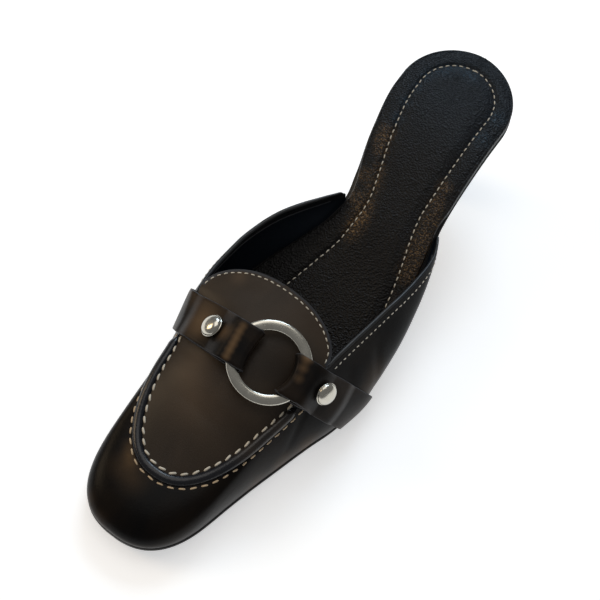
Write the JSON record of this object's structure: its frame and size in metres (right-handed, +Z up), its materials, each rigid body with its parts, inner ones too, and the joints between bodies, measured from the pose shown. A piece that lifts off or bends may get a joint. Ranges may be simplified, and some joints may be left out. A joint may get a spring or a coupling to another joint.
{
  "type": "mule shoe",
  "caption": "Woman's black leather mule for the left foot with a soft square toe, apron vamp, ring strap and low kitten heel.",
  "frame": {"origin": "on the floor, under the middle of the heel's top piece", "axes": "+Z up, the toe points to -Y, +X is the outer side of the left foot"},
  "size_m": [0.083, 0.2502, 0.0583],
  "materials": {
    "sole": "black resin sole, matt, edge inked black",
    "heel_leather": "smooth black leather wrapped over the heel",
    "top_piece": "hard black rubber, matt",
    "sock_leather": "black grained leather, softly padded, cream stitching",
    "vamp_leather": "smooth black-brown leather, soft sheen, cream stitching",
    "strap_leather": "smooth black-brown leather with raw dark edges",
    "nickel": "polished nickel plate"
  },
  "bodies": {
    "root": {"outsole": "sole", "heel": "heel_leather", "heel_top_piece": "top_piece", "insole": "sock_leather", "upper": "vamp_leather", "strap_inner": "strap_leather", "strap_outer": "strap_leather", "ring": "nickel", "stud_inner": "nickel", "stud_outer": "nickel"}
  },
  "joints": []
}
